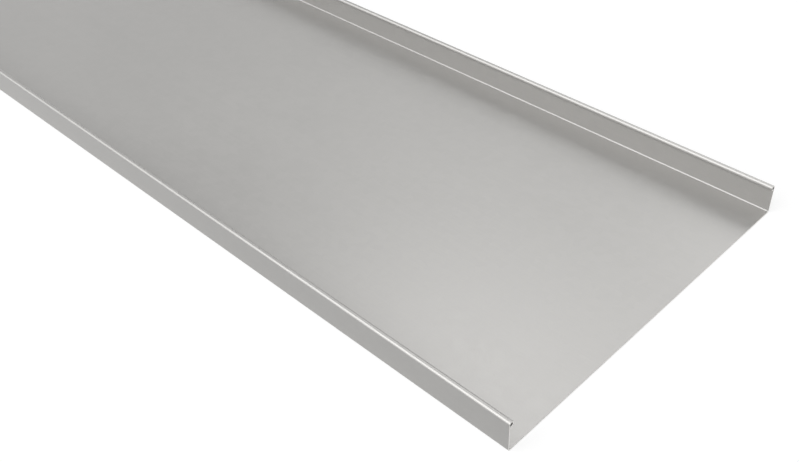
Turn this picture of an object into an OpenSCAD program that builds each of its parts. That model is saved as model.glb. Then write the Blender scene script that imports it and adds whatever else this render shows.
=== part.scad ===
// Solid cable tray: one length of zinc-coated sheet steel, roll-formed into a shallow channel
// with a plain bed, two upright flanges and a hem rolled inwards along the top of each flange.
// Millimetres. The tray lies along X, its underside is on Z = 0 and it is centred on X and Y.

/* [Tray] */
// Length of the tray
tray_length = 3000; // [500:100:6000]
// Width over the outside of the flanges
tray_width = 300; // [50:25:900]
// Height from the underside to the top of the hems
tray_height = 25; // [20:1:100]

/* [Sheet] */
// Thickness of the sheet
sheet_thickness = 1; // [0.8:0.1:2]
// Inside radius of the bend between the bed and a flange
bend_radius = 1.2; // [0.5:0.1:3]

/* [Hem] */
// Inside radius of the curl that rolls the sheet over at the top of a flange
hem_radius = 1.1; // [0.7:0.1:2]
// Gap between the end of the curl and the inner face of the flange
hem_gap = 0.3; // [0.2:0.1:0.6]

/* [Hidden] */
// Smoothness of the round stretches
$fn = 64;
// Radii on the outer face of the sheet
bend_outside = bend_radius + sheet_thickness;
hem_outside = hem_radius + sheet_thickness;
// Flat stretches of the folded sheet, from the centre line outwards
half_bed = tray_width / 2 - bend_outside;
flange_flat = tray_height - bend_outside - hem_outside;
hem_lip = hem_radius - hem_gap;

// Quarter of a ring of sheet that curls up and to the right of the origin, round [0, outside]
module quarter_ring(inside) {
  outside = inside + sheet_thickness;
  translate([0, outside])
    intersection() {
      difference() {
        circle(r = outside);
        circle(r = inside);
      }
      translate([0, -outside])
        square(outside);
    }
}

// Flat stretch of sheet, lower face on the X axis, with the next stretch at its far end
module flat(length) {
  square([length, sheet_thickness]);
  translate([length, 0])
    children();
}

// Quarter turn upwards, with the next stretch at its far end
module quarter_turn(inside) {
  outside = inside + sheet_thickness;
  quarter_ring(inside);
  translate([outside, outside])
    rotate(90)
      children();
}

// Three quarters of a turn, which curl the sheet back towards itself
module curl(inside) {
  quarter_turn(inside)
    quarter_turn(inside)
      quarter_turn(inside)
        children();
}

// One half of the folded section: bed, bend, flange, curled hem and its end, in the order they are rolled
module half_section() {
  flat(half_bed)
    quarter_turn(bend_radius)
      flat(flange_flat)
        curl(hem_radius)
          flat(hem_lip);
}

// The whole section, across Y with its underside on Z = 0 once it stands up
module section() {
  half_section();
  mirror([1, 0])
    half_section();
}

// The folded sheet, cut square at both ends
module tray() {
  color("silver")
    rotate([90, 0, 90])
      linear_extrude(height = tray_length, center = true)
        section();
}

tray();
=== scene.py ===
"""Dresses the solid cable tray: a folded sheet with a zinc coat and sheared edges, on a studio floor."""

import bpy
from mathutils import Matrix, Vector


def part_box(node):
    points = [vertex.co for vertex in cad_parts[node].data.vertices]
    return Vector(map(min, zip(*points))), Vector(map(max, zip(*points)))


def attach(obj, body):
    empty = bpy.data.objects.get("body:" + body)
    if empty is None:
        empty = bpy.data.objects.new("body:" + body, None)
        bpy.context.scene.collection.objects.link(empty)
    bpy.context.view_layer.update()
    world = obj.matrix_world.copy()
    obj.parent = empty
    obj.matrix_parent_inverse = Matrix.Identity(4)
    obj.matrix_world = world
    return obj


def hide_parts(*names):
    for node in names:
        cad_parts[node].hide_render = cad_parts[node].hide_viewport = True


bl_info = {
    "name": "Solid cable tray",
    "version": (1, 0, 0),
    "blender": (4, 5, 0),
    "location": "3D View > Sidebar > Cable tray",
    "description": "Folds a solid cable tray from sheet, coats it with zinc and sets it on a studio floor",
    "category": "Object",
}

import math

import bpy
from bpy.props import FloatProperty, FloatVectorProperty, IntProperty, PointerProperty
from mathutils import Matrix, Vector

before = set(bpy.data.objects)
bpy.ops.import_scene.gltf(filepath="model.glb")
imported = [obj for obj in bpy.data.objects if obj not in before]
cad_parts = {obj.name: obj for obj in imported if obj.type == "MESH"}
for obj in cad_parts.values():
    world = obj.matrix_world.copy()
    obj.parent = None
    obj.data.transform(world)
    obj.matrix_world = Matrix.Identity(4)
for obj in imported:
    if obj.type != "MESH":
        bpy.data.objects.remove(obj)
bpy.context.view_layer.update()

NODE = "tray"
BODY = "root"

# The camera: the photograph's width in pixels, the sensor in millimetres, and how near and far it sees
PHOTO_WIDTH = 799
SENSOR_WIDTH = 36.0
CLIP_NEAR = 0.01
CLIP_FAR = 200.0

# The mesh: points this close are one, a share over this counts as all, and large faces rule the shading
MERGE_WITHIN = 1e-6
NEARLY_ALL = 0.9
FLAT_WEIGHT = 100

# The map for baking: its name, the gap between its rows, and the zoom of the cut edges
BAKE_MAP = "OFBake"
MAP_GAP = 0.006
MAP_EDGE_ZOOM = 4

# Patterns of the zinc coat: how many widths long they run, how many sheets a fold's trace reaches, the share
# by which the colour may change, then how much each moves the tone from its middle, the roughness, and the
# surface in metres
CLOUD_RUN = 2
STREAK_RUN = 200
BEND_REACH = 2.0
HEM_REACH = 1.5
COAT_SPREAD = 0.1
COAT_MIDDLE = 0.5
COAT_TONE = {"clouds": 0.5, "streaks": 0.35, "crystals": 0.15, "rubbed": 0.12, "stretched": -0.10}
COAT_UNEVEN = {"clouds": 0.10, "streaks": 0.08, "crystals": 0.04, "rubbed": -0.05, "stretched": 0.04}
COAT_RELIEF = {"streaks": 2.0e-6, "peel": 1.5e-6}

# The same for the sheared edges, with the widths of their lines and waves in metres, how far a line leans
# over the sheet's thickness, and how sharply the burnished band ends
EDGE_LINE = 0.0004
EDGE_WAVE = 0.006
EDGE_LEAN = 0.6
EDGE_BORDER = 3.0
EDGE_SPREAD = 0.15
EDGE_MIDDLE = 0.45
EDGE_TONE = {"lines": 0.6, "burnished": 0.1}
EDGE_UNEVEN = {"lines": 0.12, "burnished": -0.15}
EDGE_RELIEF = 1.0e-5
EDGE_RELIEF_LOST = 0.6

# The floor: its half width, its depth under the tray, its finish, and the light it adds for the camera and
# for mirrors
FLOOR_REACH = 30.0
FLOOR_DEPTH = 0.0002
FLOOR_ROUGHNESS = 0.9
FLOOR_SHOWN = 0.75
FLOOR_MIRRORED = 0.74

# The lamps: heading from the tray's length, rise above the floor and breadth in degrees, then strength
LAMPS = {
    "low": (228, 15, 60, 0.94),
    "front": (290, 30, 60, 0.80),
    "high": (250, 56, 60, 1.44),
    "side": (80, 30, 60, 0.83),
    "back": (132, 48, 20, 0.10),
    "back_high": (126, 57, 20, 0.07),
}

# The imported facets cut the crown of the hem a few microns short, so the sizes are read to a tenth of a
# millimetre
low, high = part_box(NODE)
tray_length, tray_width, tray_height = (round(side, 4) for side in high - low)


class Wire:
    """A node's output socket that can stand in Python expressions, which add Math nodes to its tree."""

    def __init__(self, socket):
        self.socket = socket

    @classmethod
    def add(cls, tree, kind, settings=None, inputs=None, output=0):
        """Adds any node: its type, its settings, then its sockets' values or wires by name or number."""
        node = tree.nodes.new(kind)
        for name, value in (settings or {}).items():
            setattr(node, name, value)
        for name, value in (inputs or {}).items():
            for wire in value if isinstance(value, list) else [value]:
                if isinstance(wire, Wire):
                    tree.links.new(wire.socket, node.inputs[name])
                else:
                    node.inputs[name].default_value = wire
        return cls(node.outputs[output]) if node.outputs else node

    def other(self, output):
        """Another output of the same node."""
        return Wire(self.socket.node.outputs[output])

    def feed(self, socket):
        """Links this output to a socket of another node."""
        self.socket.id_data.links.new(self.socket, socket)

    def maths(self, operation, *values):
        """A Math node that starts with this wire."""
        inputs = dict(enumerate((self, *values)))
        return Wire.add(self.socket.id_data, "ShaderNodeMath", {"operation": operation}, inputs)

    def swapped(self, operation, value):
        """A Math node that starts with the value and takes this wire second."""
        inputs = {0: value, 1: self}
        return Wire.add(self.socket.id_data, "ShaderNodeMath", {"operation": operation}, inputs)

    def __add__(self, value):
        return self.maths("ADD", value)

    def __radd__(self, value):
        return self.swapped("ADD", value)

    def __sub__(self, value):
        return self.maths("SUBTRACT", value)

    def __rsub__(self, value):
        return self.swapped("SUBTRACT", value)

    def __mul__(self, value):
        return self.maths("MULTIPLY", value)

    def __rmul__(self, value):
        return self.swapped("MULTIPLY", value)

    def __truediv__(self, value):
        return self.maths("DIVIDE", value)

    def __neg__(self):
        return self.maths("MULTIPLY", -1.0)

    def __lt__(self, value):
        return self.maths("LESS_THAN", value)

    def __gt__(self, value):
        return self.maths("GREATER_THAN", value)

    def __abs__(self):
        return self.maths("ABSOLUTE")


class CableTraySizes(bpy.types.PropertyGroup):
    """Sizes of the folded sheet."""

    length: FloatProperty(
        name="Length", description="Length of the tray", default=tray_length, unit="LENGTH"
    )
    width: FloatProperty(
        name="Width", description="Width over the outside of the flanges", default=tray_width, unit="LENGTH"
    )
    height: FloatProperty(
        name="Height", description="Height from the underside to the top of the hems", default=tray_height,
        unit="LENGTH",
    )
    sheet: FloatProperty(
        name="Sheet", description="Thickness of the sheet", default=0.001, unit="LENGTH", precision=4
    )
    bend_radius: FloatProperty(
        name="Bend radius", description="Inside radius of the bend between the bed and a flange",
        default=0.0012, unit="LENGTH", precision=4,
    )
    hem_radius: FloatProperty(
        name="Hem radius", description="Inside radius of the curl along the top of a flange",
        default=0.0011, unit="LENGTH", precision=4,
    )
    hem_gap: FloatProperty(
        name="Hem gap", description="Gap between the end of the curl and the inner face of the flange",
        default=0.0003, unit="LENGTH", precision=4,
    )
    edge_break: FloatProperty(
        name="Edge break", description="How far the sharp edges of the cut ends are rubbed down",
        default=0.0001, unit="LENGTH", precision=5,
    )
    turn_steps: IntProperty(
        name="Turn steps", description="Facets in a quarter turn of the sheet", default=14, min=4, max=48
    )
    length_steps: IntProperty(
        name="Length steps", description="Facets along each half of the tray", default=29, min=1, max=200
    )


class CableTrayFinish(bpy.types.PropertyGroup):
    """Colours and grain of the metal."""

    coat_color: FloatVectorProperty(
        name="Zinc coat", description="Colour of the zinc coat", subtype="COLOR", size=3, min=0, max=1,
        default=(0.386, 0.380, 0.370),
    )
    coat_metal: FloatProperty(
        name="Bright zinc", description="Share of the coat that mirrors; the rest is matt oxide",
        subtype="FACTOR", min=0, max=1, default=0.7,
    )
    coat_roughness: FloatProperty(
        name="Coat roughness", description="Roughness of the zinc coat", subtype="FACTOR", min=0, max=1,
        default=0.33,
    )
    crystal_size: FloatProperty(
        name="Crystal size", description="Width of one crystal of the zinc's faint spangle", default=0.006,
        unit="LENGTH", precision=4,
    )
    streak_width: FloatProperty(
        name="Streak width", description="Width of the fine streaks that the rolls leave along the sheet",
        default=0.0012, unit="LENGTH", precision=4,
    )
    cloud_size: FloatProperty(
        name="Cloud size", description="Width of the soft clouds in the coat", default=0.16, unit="LENGTH"
    )
    edge_color: FloatVectorProperty(
        name="Sheared edge", description="Colour of the bare steel on the cut edges", subtype="COLOR", size=3,
        min=0, max=1, default=(0.70, 0.69, 0.67),
    )
    edge_roughness: FloatProperty(
        name="Edge roughness", description="Roughness of the torn part of a cut edge", subtype="FACTOR",
        min=0, max=1, default=0.5,
    )


class CableTrayStage(bpy.types.PropertyGroup):
    """Floor, light and camera."""

    floor_color: FloatVectorProperty(
        name="Floor", description="Colour of the studio floor", subtype="COLOR", size=3, min=0, max=1,
        default=(0.35, 0.35, 0.35),
    )
    sky_level: FloatProperty(
        name="Sky", description="Level of the even light from all around", subtype="FACTOR", min=0, max=1,
        default=0.03,
    )
    lamp_level: FloatProperty(
        name="Lamp level", description="Strength of all the lamps together, 1 for a plain level",
        default=1.0, min=0.0, subtype="FACTOR", soft_max=2.0,
    )
    camera_place: FloatVectorProperty(
        name="Camera place",
        description="Where the camera stands, from the middle of the cut end's underside",
        subtype="TRANSLATION", unit="LENGTH", size=3, default=(0.22171, -0.43989, 0.46673),
    )
    camera_heading: FloatProperty(
        name="Heading", description="Way the camera looks, turned from the tray's own length",
        subtype="ANGLE", unit="ROTATION", default=math.radians(136.321),
    )
    camera_pitch: FloatProperty(
        name="Pitch", description="How far the camera looks down", subtype="ANGLE", unit="ROTATION",
        default=math.radians(39.489),
    )
    camera_roll: FloatProperty(
        name="Roll", description="How far the camera leans over", subtype="ANGLE", unit="ROTATION",
        default=math.radians(-2.785),
    )
    camera_focus: FloatProperty(
        name="Focal length", description="Focal length in pixels of the picture", default=992.78
    )


def tree_with_sockets(name, sizes):
    """A geometry node tree with a named input for each size and material, and one mesh output."""
    tree = bpy.data.node_groups.new(name, "GeometryNodeTree")
    tree.interface.new_socket("Mesh", in_out="OUTPUT", socket_type="NodeSocketGeometry")
    for size in sizes:
        kind = "NodeSocketInt" if size.endswith("steps") else "NodeSocketFloat"
        tree.interface.new_socket(size, in_out="INPUT", socket_type=kind)
    for material in ("Coat", "Edge"):
        tree.interface.new_socket(material, in_out="INPUT", socket_type="NodeSocketMaterial")
    return tree


def fold_tree(sizes):
    """The sheet as a rule: a rounded line gets a thickness, and its outline runs along the tray."""
    tree = tree_with_sockets("Folded sheet", sizes)

    def add(kind, settings=None, inputs=None, output=0):
        return Wire.add(tree, kind, settings, inputs, output)

    def store(geometry, name, value, kind="FLOAT"):
        inputs = {"Geometry": geometry, "Name": name, "Value": value}
        return add("GeometryNodeStoreNamedAttribute", {"data_type": kind, "domain": "POINT"}, inputs)

    given = tree.nodes.new("NodeGroupInput")
    size = {name: Wire(given.outputs[name]) for name in sizes}
    coat, bare = (Wire(given.outputs[name]) for name in ("Coat", "Edge"))
    sheet = size["Sheet"]
    half_sheet = sheet * 0.5

    # Middle of the sheet at the corners of the section, from the tip of one curl to the tip of the other:
    # 0 is the tip, 1 and 2 the inner corners of the curl, 3 its outer corner, and 4 the corner by the bed
    corners = 10
    index = add("GeometryNodeInputIndex")
    from_tip = index.maths("MINIMUM", (corners - 1) - index)
    side = (index > (corners - 1) / 2) * 2.0 - 1.0
    is_tip = from_tip < 0.5
    is_low = from_tip < 1.5
    is_inner = from_tip < 2.5
    is_bed = from_tip > 3.5
    wall = size["Width"] * 0.5 - half_sheet
    hem_middle = size["Hem radius"] + half_sheet
    crown = size["Height"] - half_sheet
    tip_place = wall - half_sheet - size["Hem gap"]
    inner_place = wall - 2.0 * hem_middle
    across = side * (wall - is_inner * (wall - inner_place) + is_tip * (tip_place - inner_place))
    height = is_bed * half_sheet + (1.0 - is_bed) * (crown - is_low * 2.0 * hem_middle)
    corner_radius = hem_middle + is_bed * (size["Bend radius"] - size["Hem radius"])
    place = add("ShaderNodeCombineXYZ", inputs={"X": across, "Y": -height})
    dots = add("GeometryNodeMeshLine", inputs={"Count": corners})
    line = add("GeometryNodeSetPosition", inputs={"Geometry": dots, "Position": place})
    line = add("GeometryNodeMeshToCurve", inputs={"Mesh": line})
    line = add(
        "GeometryNodeFilletCurve", {"mode": "POLY"},
        {"Curve": line, "Radius": corner_radius, "Count": size["Turn steps"]},
    )
    # The quarter turns of a curl meet, and their last points are merged there
    line = add("GeometryNodeCurveToMesh", inputs={"Curve": line})
    line = add("GeometryNodeMergeByDistance", inputs={"Geometry": line, "Distance": MERGE_WITHIN})
    line = add("GeometryNodeMeshToCurve", inputs={"Mesh": line})

    # Places in the flat pattern, before the sheet is folded
    along_line = add("GeometryNodeSplineParameter", output="Length")
    line_length = add("GeometryNodeSplineLength")
    tips = add("GeometryNodeCurveEndpointSelection")
    line = store(line, "across", along_line - line_length * 0.5)
    line = store(line, "tip", tips)
    line = store(line, "fold_line", add("GeometryNodeInputPosition"), "FLOAT_VECTOR")

    # The section's strip, and its outline; side runs from -1 on the outer face of the sheet to 1 on the
    # inner one
    thickness_end = add("ShaderNodeCombineXYZ", inputs={"X": half_sheet})
    thickness_start = add("ShaderNodeCombineXYZ", inputs={"X": -half_sheet})
    thickness = add("GeometryNodeCurvePrimitiveLine", inputs={"Start": thickness_start, "End": thickness_end})
    thickness = store(thickness, "side", add("GeometryNodeSplineParameter") * 2.0 - 1.0)
    strip = add("GeometryNodeCurveToMesh", inputs={"Curve": line, "Profile Curve": thickness})
    rim = add("GeometryNodeInputMeshEdgeNeighbors") < 1.5
    outline = add("GeometryNodeMeshToCurve", inputs={"Mesh": strip, "Selection": rim})

    # Rows along the tray, with one at its middle and one close to each cut end
    rows = size["Length steps"] * 2.0 + 3.0
    inset = size["Edge break"]
    half_length = size["Length"] * 0.5
    share = ((index - 1.0) / (rows - 3.0)).maths("MINIMUM", 1.0).maths("MAXIMUM", 0.0)
    end_row = (index < 0.5) - (index > rows - 1.5)
    row_place = (half_length - inset) * (1.0 - share * 2.0) + end_row * inset
    rows_line = add("GeometryNodeMeshLine", inputs={"Count": rows})
    rows_line = add(
        "GeometryNodeSetPosition",
        inputs={"Geometry": rows_line, "Position": add("ShaderNodeCombineXYZ", inputs={"X": row_place})},
    )
    run = add("GeometryNodeMeshToCurve", inputs={"Mesh": rows_line})
    skin = add("GeometryNodeCurveToMesh", inputs={"Curve": run, "Profile Curve": outline})
    skin = add("GeometryNodeFlipFaces", inputs={"Mesh": skin})
    skin = add("GeometryNodeSetMaterial", inputs={"Geometry": skin, "Material": coat})

    # The cut ends are the strip itself, stood up in the plane of each end
    parts = add("ShaderNodeSeparateXYZ", inputs={"Vector": add("GeometryNodeInputPosition")})
    front_place = add("ShaderNodeCombineXYZ", inputs={"X": half_length, "Y": parts, "Z": -parts.other("Y")})
    back_place = add("ShaderNodeCombineXYZ", inputs={"X": -half_length, "Y": parts, "Z": -parts.other("Y")})
    strip = add("GeometryNodeSetMaterial", inputs={"Geometry": strip, "Material": bare})
    back_end = add("GeometryNodeSetPosition", inputs={"Geometry": strip, "Position": back_place})
    strip = add("GeometryNodeFlipFaces", inputs={"Mesh": strip})
    front_end = add("GeometryNodeSetPosition", inputs={"Geometry": strip, "Position": front_place})
    tray = add("GeometryNodeJoinGeometry", inputs={"Geometry": [skin, front_end, back_end]})
    tray = add("GeometryNodeMergeByDistance", inputs={"Geometry": tray, "Distance": MERGE_WITHIN})

    # The cut ends lose a hair of thickness, so their edges aren't razor sharp
    fold = add("GeometryNodeInputNamedAttribute", {"data_type": "FLOAT_VECTOR"}, {"Name": "fold_line"})
    fold_parts = add("ShaderNodeSeparateXYZ", inputs={"Vector": fold})
    inwards = add(
        "ShaderNodeCombineXYZ",
        inputs={"Y": fold_parts - parts.other("Y"), "Z": -fold_parts.other("Y") - parts.other("Z")},
    )
    inwards = add("ShaderNodeVectorMath", {"operation": "NORMALIZE"}, {0: inwards})
    inwards = add("ShaderNodeVectorMath", {"operation": "SCALE"}, {0: inwards, "Scale": inset})
    at_end = abs(parts) > half_length - inset * 0.5
    tray = add(
        "GeometryNodeSetPosition", inputs={"Geometry": tray, "Selection": at_end, "Offset": inwards}
    )

    # Smooth faces with flat edges at the tips of the curls, which are bare steel too
    tip = add("GeometryNodeInputNamedAttribute", {"data_type": "FLOAT"}, {"Name": "tip"})
    tip_edge = tip > NEARLY_ALL
    tray = add("GeometryNodeSetShadeSmooth", inputs={0: tray, "Shade Smooth": True})
    tray = add("GeometryNodeSetShadeSmooth", inputs={0: tray, "Selection": tip_edge, "Shade Smooth": False})
    tray = add("GeometryNodeRealizeInstances", inputs={"Geometry": tray})
    tray = add("GeometryNodeSetMaterial", inputs={"Geometry": tray, "Selection": tip_edge, "Material": bare})
    for name in ("tip", "fold_line"):
        tray = add("GeometryNodeRemoveAttribute", inputs={"Geometry": tray, "Name": name})
    add("NodeGroupOutput", inputs={"Mesh": tray})
    return tree


class FlatPattern:
    """Shader coordinates on the sheet as it lay before it was folded, and the patterns drawn on it."""

    # The two faces of the sheet lie this many pattern sizes apart, so that neither repeats the other
    faces_apart = 40.0

    def __init__(self, tree):
        self.tree = tree
        place = Wire.add(tree, "ShaderNodeTexCoord", output="Object")
        self.along = Wire.add(tree, "ShaderNodeSeparateXYZ", inputs={"Vector": place})
        self.across = Wire.add(tree, "ShaderNodeAttribute", {"attribute_name": "across"}, output="Fac")
        self.side = Wire.add(tree, "ShaderNodeAttribute", {"attribute_name": "side"}, output="Fac")

    def cells(self, length, width):
        """Coordinates that go up by one over a length along the tray and a width across it."""
        inputs = {"X": self.along / length, "Y": self.across / width, "Z": self.side * self.faces_apart}
        return Wire.add(self.tree, "ShaderNodeCombineXYZ", inputs=inputs)

    def noise_at(self, place, detail):
        """Soft noise round 0."""
        inputs = {"Vector": place, "Scale": 1.0, "Detail": detail}
        return Wire.add(self.tree, "ShaderNodeTexNoise", inputs=inputs) - 0.5

    def noise(self, length, width, detail):
        """Soft noise with grains of a length along the tray and a width across it."""
        return self.noise_at(self.cells(length, width), detail)

    def edge_noise(self, width, detail, lean=0.0):
        """Soft noise along a cut edge, whose grains may lean over the sheet's thickness."""
        # Along a cut edge only one of the two lengths changes, so their sum runs along either edge
        inputs = {"X": (self.along + self.across) / width, "Y": self.side * lean}
        return self.noise_at(Wire.add(self.tree, "ShaderNodeCombineXYZ", inputs=inputs), detail)

    def crystals(self, width):
        """One even value, from -0.5 to 0.5, for each crystal."""
        inputs = {"Vector": self.cells(width, width), "Scale": 1.0}
        color = Wire.add(self.tree, "ShaderNodeTexVoronoi", {"feature": "F1"}, inputs, "Color")
        return Wire.add(self.tree, "ShaderNodeSeparateColor", inputs={"Color": color}) - 0.5

    def fold(self, middle, reach):
        """1 on a fold line of the pattern, fading to 0 at a reach from it."""
        return (1.0 - abs(abs(self.across) - middle) / reach).maths("MAXIMUM", 0.0)


def new_material(name):
    """A node material with one Principled shader: the material, its tree and the shader."""
    material = bpy.data.materials.new(name)
    material.use_nodes = True
    return material, material.node_tree, material.node_tree.nodes["Principled BSDF"]


def shade_between(tree, color, spread, tone):
    """The colour darkened by a spread where the tone is 0, lightened by it where it is 1."""
    dark, light = ((*(value * factor for value in color), 1.0) for factor in (1.0 - spread, 1.0 + spread))
    factor_socket, dark_socket, light_socket, color_output = 0, 6, 7, 2
    inputs = {factor_socket: tone, dark_socket: dark, light_socket: light}
    return Wire.add(tree, "ShaderNodeMix", {"data_type": "RGBA"}, inputs, color_output)


def blend(patterns, weights, start=0.0):
    """A start value with each pattern added by its weight."""
    total = start
    for name, weight in weights.items():
        total = patterns[name] * weight + total
    return total


def add_relief(tree, shader, height):
    """Moves a shader's surface by a height in metres."""
    bump = Wire.add(tree, "ShaderNodeBump", inputs={"Strength": 1.0, "Distance": 1.0, "Height": height})
    bump.feed(shader.inputs["Normal"])


def fold_lines(sizes):
    """Where the middle of the bend and the crown of the hem lie in the flat pattern, from its centre line."""
    half_bed = sizes.width / 2 - sizes.bend_radius - sizes.sheet
    bend = (sizes.bend_radius + sizes.sheet / 2) * math.pi / 2
    flange = sizes.height - sizes.bend_radius - sizes.hem_radius - 2 * sizes.sheet
    crown = (sizes.hem_radius + sizes.sheet / 2) * math.pi / 2
    return half_bed + bend / 2, half_bed + bend + flange + crown


def zinc_coat(finish, sizes):
    """Satin zinc on cold-rolled sheet: faint crystals, streaks from the rolls, clouds, and worked folds."""
    material, tree, shader = new_material("zinc_coat")
    pattern = FlatPattern(tree)
    bend_middle, hem_middle = fold_lines(sizes)
    patterns = {
        "clouds": pattern.noise(CLOUD_RUN * finish.cloud_size, finish.cloud_size, 2.0),
        "streaks": pattern.noise(STREAK_RUN * finish.streak_width, finish.streak_width, 3.0),
        "peel": pattern.noise(finish.streak_width, finish.streak_width, 1.0),
        "crystals": pattern.crystals(finish.crystal_size),
        "stretched": pattern.fold(bend_middle, BEND_REACH * sizes.sheet),
        "rubbed": pattern.fold(hem_middle, HEM_REACH * sizes.sheet),
    }
    tone = blend(patterns, COAT_TONE, COAT_MIDDLE)
    shade_between(tree, finish.coat_color, COAT_SPREAD, tone).feed(shader.inputs["Base Color"])
    blend(patterns, COAT_UNEVEN, finish.coat_roughness).feed(shader.inputs["Roughness"])
    shader.inputs["Metallic"].default_value = finish.coat_metal
    add_relief(tree, shader, blend(patterns, COAT_RELIEF))
    return material


def sheared_steel(finish):
    """Bare steel where the sheet was sheared: a burnished band, then a torn one with fine upright lines."""
    material, tree, shader = new_material("sheared_steel")
    pattern = FlatPattern(tree)
    lines = pattern.edge_noise(EDGE_LINE, 3.0, EDGE_LEAN)
    waves = pattern.edge_noise(EDGE_WAVE, 2.0)
    burnished = ((pattern.side + waves) * EDGE_BORDER + 0.5).maths("MINIMUM", 1.0).maths("MAXIMUM", 0.0)
    patterns = {"lines": lines, "burnished": burnished}
    tone = blend(patterns, EDGE_TONE, EDGE_MIDDLE)
    shade_between(tree, finish.edge_color, EDGE_SPREAD, tone).feed(shader.inputs["Base Color"])
    blend(patterns, EDGE_UNEVEN, finish.edge_roughness).feed(shader.inputs["Roughness"])
    shader.inputs["Metallic"].default_value = 1.0
    add_relief(tree, shader, lines * (1.0 - burnished * EDGE_RELIEF_LOST) * EDGE_RELIEF)
    return material


def map_sheet(mesh, sizes):
    """Lays the flat pattern out in the square of the map for baking.

    Each face of the sheet takes two rows, one for each half of the length. The cut edges are so thin that
    they are drawn wider, in rows of their own.
    """
    across, side = ([item.value for item in mesh.attributes[name].data] for name in ("across", "side"))
    half_length = sizes.length / 2
    pattern = max(across) - min(across)
    edge = sizes.sheet * MAP_EDGE_ZOOM
    heights = {("face", face, half): pattern for face in (-1, 1) for half in (-1, 1)}
    heights |= {("tip", flank, half): edge for flank in (-1, 1) for half in (-1, 1)}
    heights |= {("end", half): edge for half in (-1, 1)}
    middles = {}
    top = MAP_GAP
    for row, height in heights.items():
        middles[row] = top + height / 2
        top += height + MAP_GAP
    square = max(top, half_length + 2 * MAP_GAP)

    layer = mesh.uv_layers.new(name=BAKE_MAP)
    edge_slot = mesh.materials.find("sheared_steel")
    for polygon in mesh.polygons:
        half = 1 if polygon.center.x > 0 else -1
        flank = 1 if polygon.center.y > 0 else -1
        is_end = abs(polygon.normal.x) > NEARLY_ALL
        is_tip = polygon.material_index == edge_slot and not is_end
        for corner in polygon.loop_indices:
            point = mesh.loops[corner].vertex_index
            along = mesh.vertices[point].co.x + (half_length if half < 0 else 0.0)
            if is_end:
                place = (pattern / 2 + half * across[point], middles["end", half] + side[point] * edge / 2)
            elif is_tip:
                place = (along, middles["tip", flank, half] - flank * side[point] * edge / 2)
            else:
                face = round(side[point])
                place = (along, middles["face", face, half] + face * across[point])
            layer.uv[corner].vector = ((MAP_GAP + place[0]) / square, place[1] / square)


def signed_volume(mesh):
    """Volume inside a closed mesh, negative where its faces point inwards."""
    mesh.calc_loop_triangles()
    total = 0.0
    for triangle in mesh.loop_triangles:
        a, b, c = (mesh.vertices[i].co for i in triangle.vertices)
        total += a.dot(b.cross(c)) / 6.0
    return total


class CABLETRAY_OT_fold_tray(bpy.types.Operator):
    """Fold the tray's sheet and coat it"""

    bl_idname = "cable_tray.fold_tray"
    bl_label = "Fold the tray"

    def execute(self, context):
        sizes = context.scene.cable_tray_sizes
        finish = context.scene.cable_tray_finish
        values = {sizes.bl_rna.properties[name].name: getattr(sizes, name) for name in sizes.__annotations__}
        tree = fold_tree(list(values))
        values["Coat"] = zinc_coat(finish, sizes)
        values["Edge"] = sheared_steel(finish)
        blank = bpy.data.objects.new("tray_blank", bpy.data.meshes.new("tray_blank"))
        context.scene.collection.objects.link(blank)
        folding = blank.modifiers.new("Fold", "NODES")
        folding.node_group = tree
        for item in tree.interface.items_tree:
            if item.in_out == "INPUT":
                folding[item.identifier] = values[item.name]
        shading = blank.modifiers.new("Keep flats flat", "WEIGHTED_NORMAL")
        shading.weight = FLAT_WEIGHT
        shading.keep_sharp = True
        graph = context.evaluated_depsgraph_get()
        mesh = bpy.data.meshes.new_from_object(
            blank.evaluated_get(graph), preserve_all_data_layers=True, depsgraph=graph
        )
        bpy.data.objects.remove(blank)
        mesh.name = "folded_tray"
        if signed_volume(mesh) <= 0:
            raise RuntimeError("the folded tray's faces point inwards")
        map_sheet(mesh, sizes)
        tray = bpy.data.objects.new("folded_tray", mesh)
        context.scene.collection.objects.link(tray)
        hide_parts(NODE)
        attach(tray, BODY)
        return {"FINISHED"}


class CABLETRAY_OT_set_stage(bpy.types.Operator):
    """Lay the floor, set the light and place the camera"""

    bl_idname = "cable_tray.set_stage"
    bl_label = "Set the stage"

    def execute(self, context):
        stage = context.scene.cable_tray_stage
        lay_floor(context.scene, stage)
        light_world(context.scene, stage)
        hang_lamps(context.scene, stage)
        place_camera(context.scene, stage)
        context.scene.view_settings.view_transform = "Standard"
        return {"FINISHED"}


def ray_kinds(tree):
    """Two wires, each 1 or 0: a ray from the camera, and one that comes by a mirror or through glass."""
    path = Wire.add(tree, "ShaderNodeLightPath", output="Is Camera Ray")
    return path, path.other("Is Glossy Ray").maths("MAXIMUM", path.other("Is Transmission Ray"))


def lay_floor(scene, stage):
    """A plain pale floor just under the tray, which shows white and keeps the tray's shadow."""
    signs = ((-1, -1), (1, -1), (1, 1), (-1, 1))
    corners = [(x * FLOOR_REACH, y * FLOOR_REACH, -FLOOR_DEPTH) for x, y in signs]
    mesh = bpy.data.meshes.new("studio_floor")
    mesh.from_pydata(corners, [], [(0, 1, 2, 3)])
    floor = bpy.data.objects.new("studio_floor", mesh)
    scene.collection.objects.link(floor)
    material, tree, shader = new_material("studio_floor")
    shader.inputs["Base Color"].default_value = (*stage.floor_color, 1.0)
    shader.inputs["Roughness"].default_value = FLOOR_ROUGHNESS
    shader.inputs["Specular IOR Level"].default_value = 0.0
    shader.inputs["Emission Color"].default_value = (1.0, 1.0, 1.0, 1.0)
    shown, mirrored = ray_kinds(tree)
    (shown * FLOOR_SHOWN + mirrored * FLOOR_MIRRORED).feed(shader.inputs["Emission Strength"])
    mesh.materials.append(material)


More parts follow.
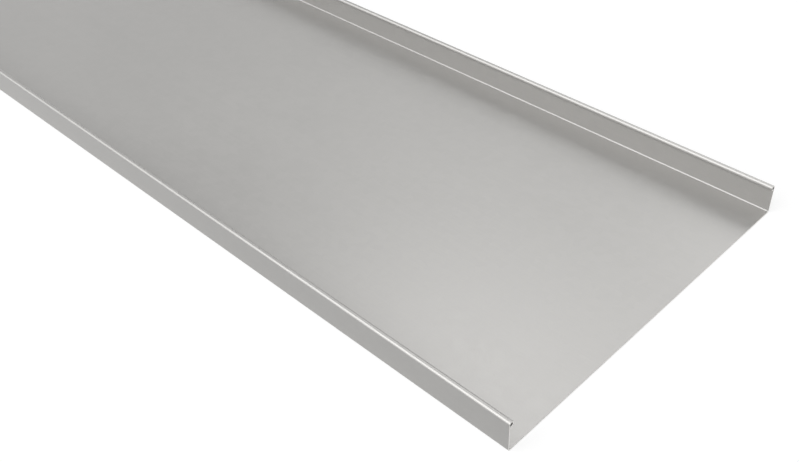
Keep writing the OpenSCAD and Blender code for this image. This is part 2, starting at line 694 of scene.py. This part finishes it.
def light_world(scene, stage):
    """White surroundings that the metal mirrors, and an even soft light on everything else."""
    world = bpy.data.worlds.new("studio")
    world.use_nodes = True
    tree = world.node_tree
    background = tree.nodes["Background"]
    background.inputs["Color"].default_value = (1.0, 1.0, 1.0, 1.0)
    shown, mirrored = ray_kinds(tree)
    strength = stage.sky_level + shown.maths("MAXIMUM", mirrored) * (1.0 - stage.sky_level)
    strength.feed(background.inputs["Strength"])
    scene.world = world


def hang_lamps(scene, stage):
    """Broad far lamps all round the tray."""
    for name, (heading, rise, breadth, strength) in LAMPS.items():
        lamp = bpy.data.lights.new(name, "SUN")
        lamp.angle = math.radians(breadth)
        lamp.energy = strength * stage.lamp_level
        turn = math.radians(heading)
        lift = math.radians(rise)
        way = Vector((math.cos(lift) * math.cos(turn), math.cos(lift) * math.sin(turn), math.sin(lift)))
        holder = bpy.data.objects.new(name, lamp)
        holder.location = way
        holder.rotation_mode = "QUATERNION"
        holder.rotation_quaternion = (-way).to_track_quat("-Z", "Y")
        scene.collection.objects.link(holder)


def place_camera(scene, stage):
    """The photograph's view of the cut end."""
    camera = bpy.data.cameras.new("camera")
    camera.sensor_fit = "HORIZONTAL"
    camera.sensor_width = SENSOR_WIDTH
    camera.lens = stage.camera_focus * SENSOR_WIDTH / PHOTO_WIDTH
    camera.clip_start = CLIP_NEAR
    camera.clip_end = CLIP_FAR
    heading, pitch, roll = stage.camera_heading, stage.camera_pitch, stage.camera_roll
    ahead = Vector(
        (math.cos(pitch) * math.cos(heading), math.cos(pitch) * math.sin(heading), -math.sin(pitch))
    )
    level = Vector((math.sin(heading), -math.cos(heading), 0.0))
    upward = level.cross(ahead)
    right = math.cos(roll) * level + math.sin(roll) * upward
    up = math.cos(roll) * upward - math.sin(roll) * level
    turn = Matrix((right, up, -ahead)).transposed().to_4x4()
    holder = bpy.data.objects.new("camera", camera)
    cut_end = Vector((high.x, 0.0, 0.0))
    holder.matrix_world = Matrix.Translation(cut_end + Vector(stage.camera_place)) @ turn
    scene.collection.objects.link(holder)
    scene.camera = holder


class CABLETRAY_PT_sidebar(bpy.types.Panel):
    """Sizes, finish and stage of the cable tray"""

    bl_idname = "CABLETRAY_PT_sidebar"
    bl_label = "Solid cable tray"
    bl_space_type = "VIEW_3D"
    bl_region_type = "UI"
    bl_category = "Cable tray"

    def draw(self, context):
        for group, operator in (
            (context.scene.cable_tray_sizes, CABLETRAY_OT_fold_tray),
            (context.scene.cable_tray_finish, None),
            (context.scene.cable_tray_stage, CABLETRAY_OT_set_stage),
        ):
            column = self.layout.column()
            for name in group.__annotations__:
                column.prop(group, name)
            if operator:
                column.operator(operator.bl_idname)


CLASSES = (
    CableTraySizes,
    CableTrayFinish,
    CableTrayStage,
    CABLETRAY_OT_fold_tray,
    CABLETRAY_OT_set_stage,
    CABLETRAY_PT_sidebar,
)


def register():
    for item in CLASSES:
        bpy.utils.register_class(item)
    bpy.types.Scene.cable_tray_sizes = PointerProperty(type=CableTraySizes)
    bpy.types.Scene.cable_tray_finish = PointerProperty(type=CableTrayFinish)
    bpy.types.Scene.cable_tray_stage = PointerProperty(type=CableTrayStage)


def unregister():
    del bpy.types.Scene.cable_tray_stage
    del bpy.types.Scene.cable_tray_finish
    del bpy.types.Scene.cable_tray_sizes
    for item in reversed(CLASSES):
        bpy.utils.unregister_class(item)


def main():
    register()
    bpy.ops.cable_tray.fold_tray()
    bpy.ops.cable_tray.set_stage()


if __name__ == "__main__":
    main()
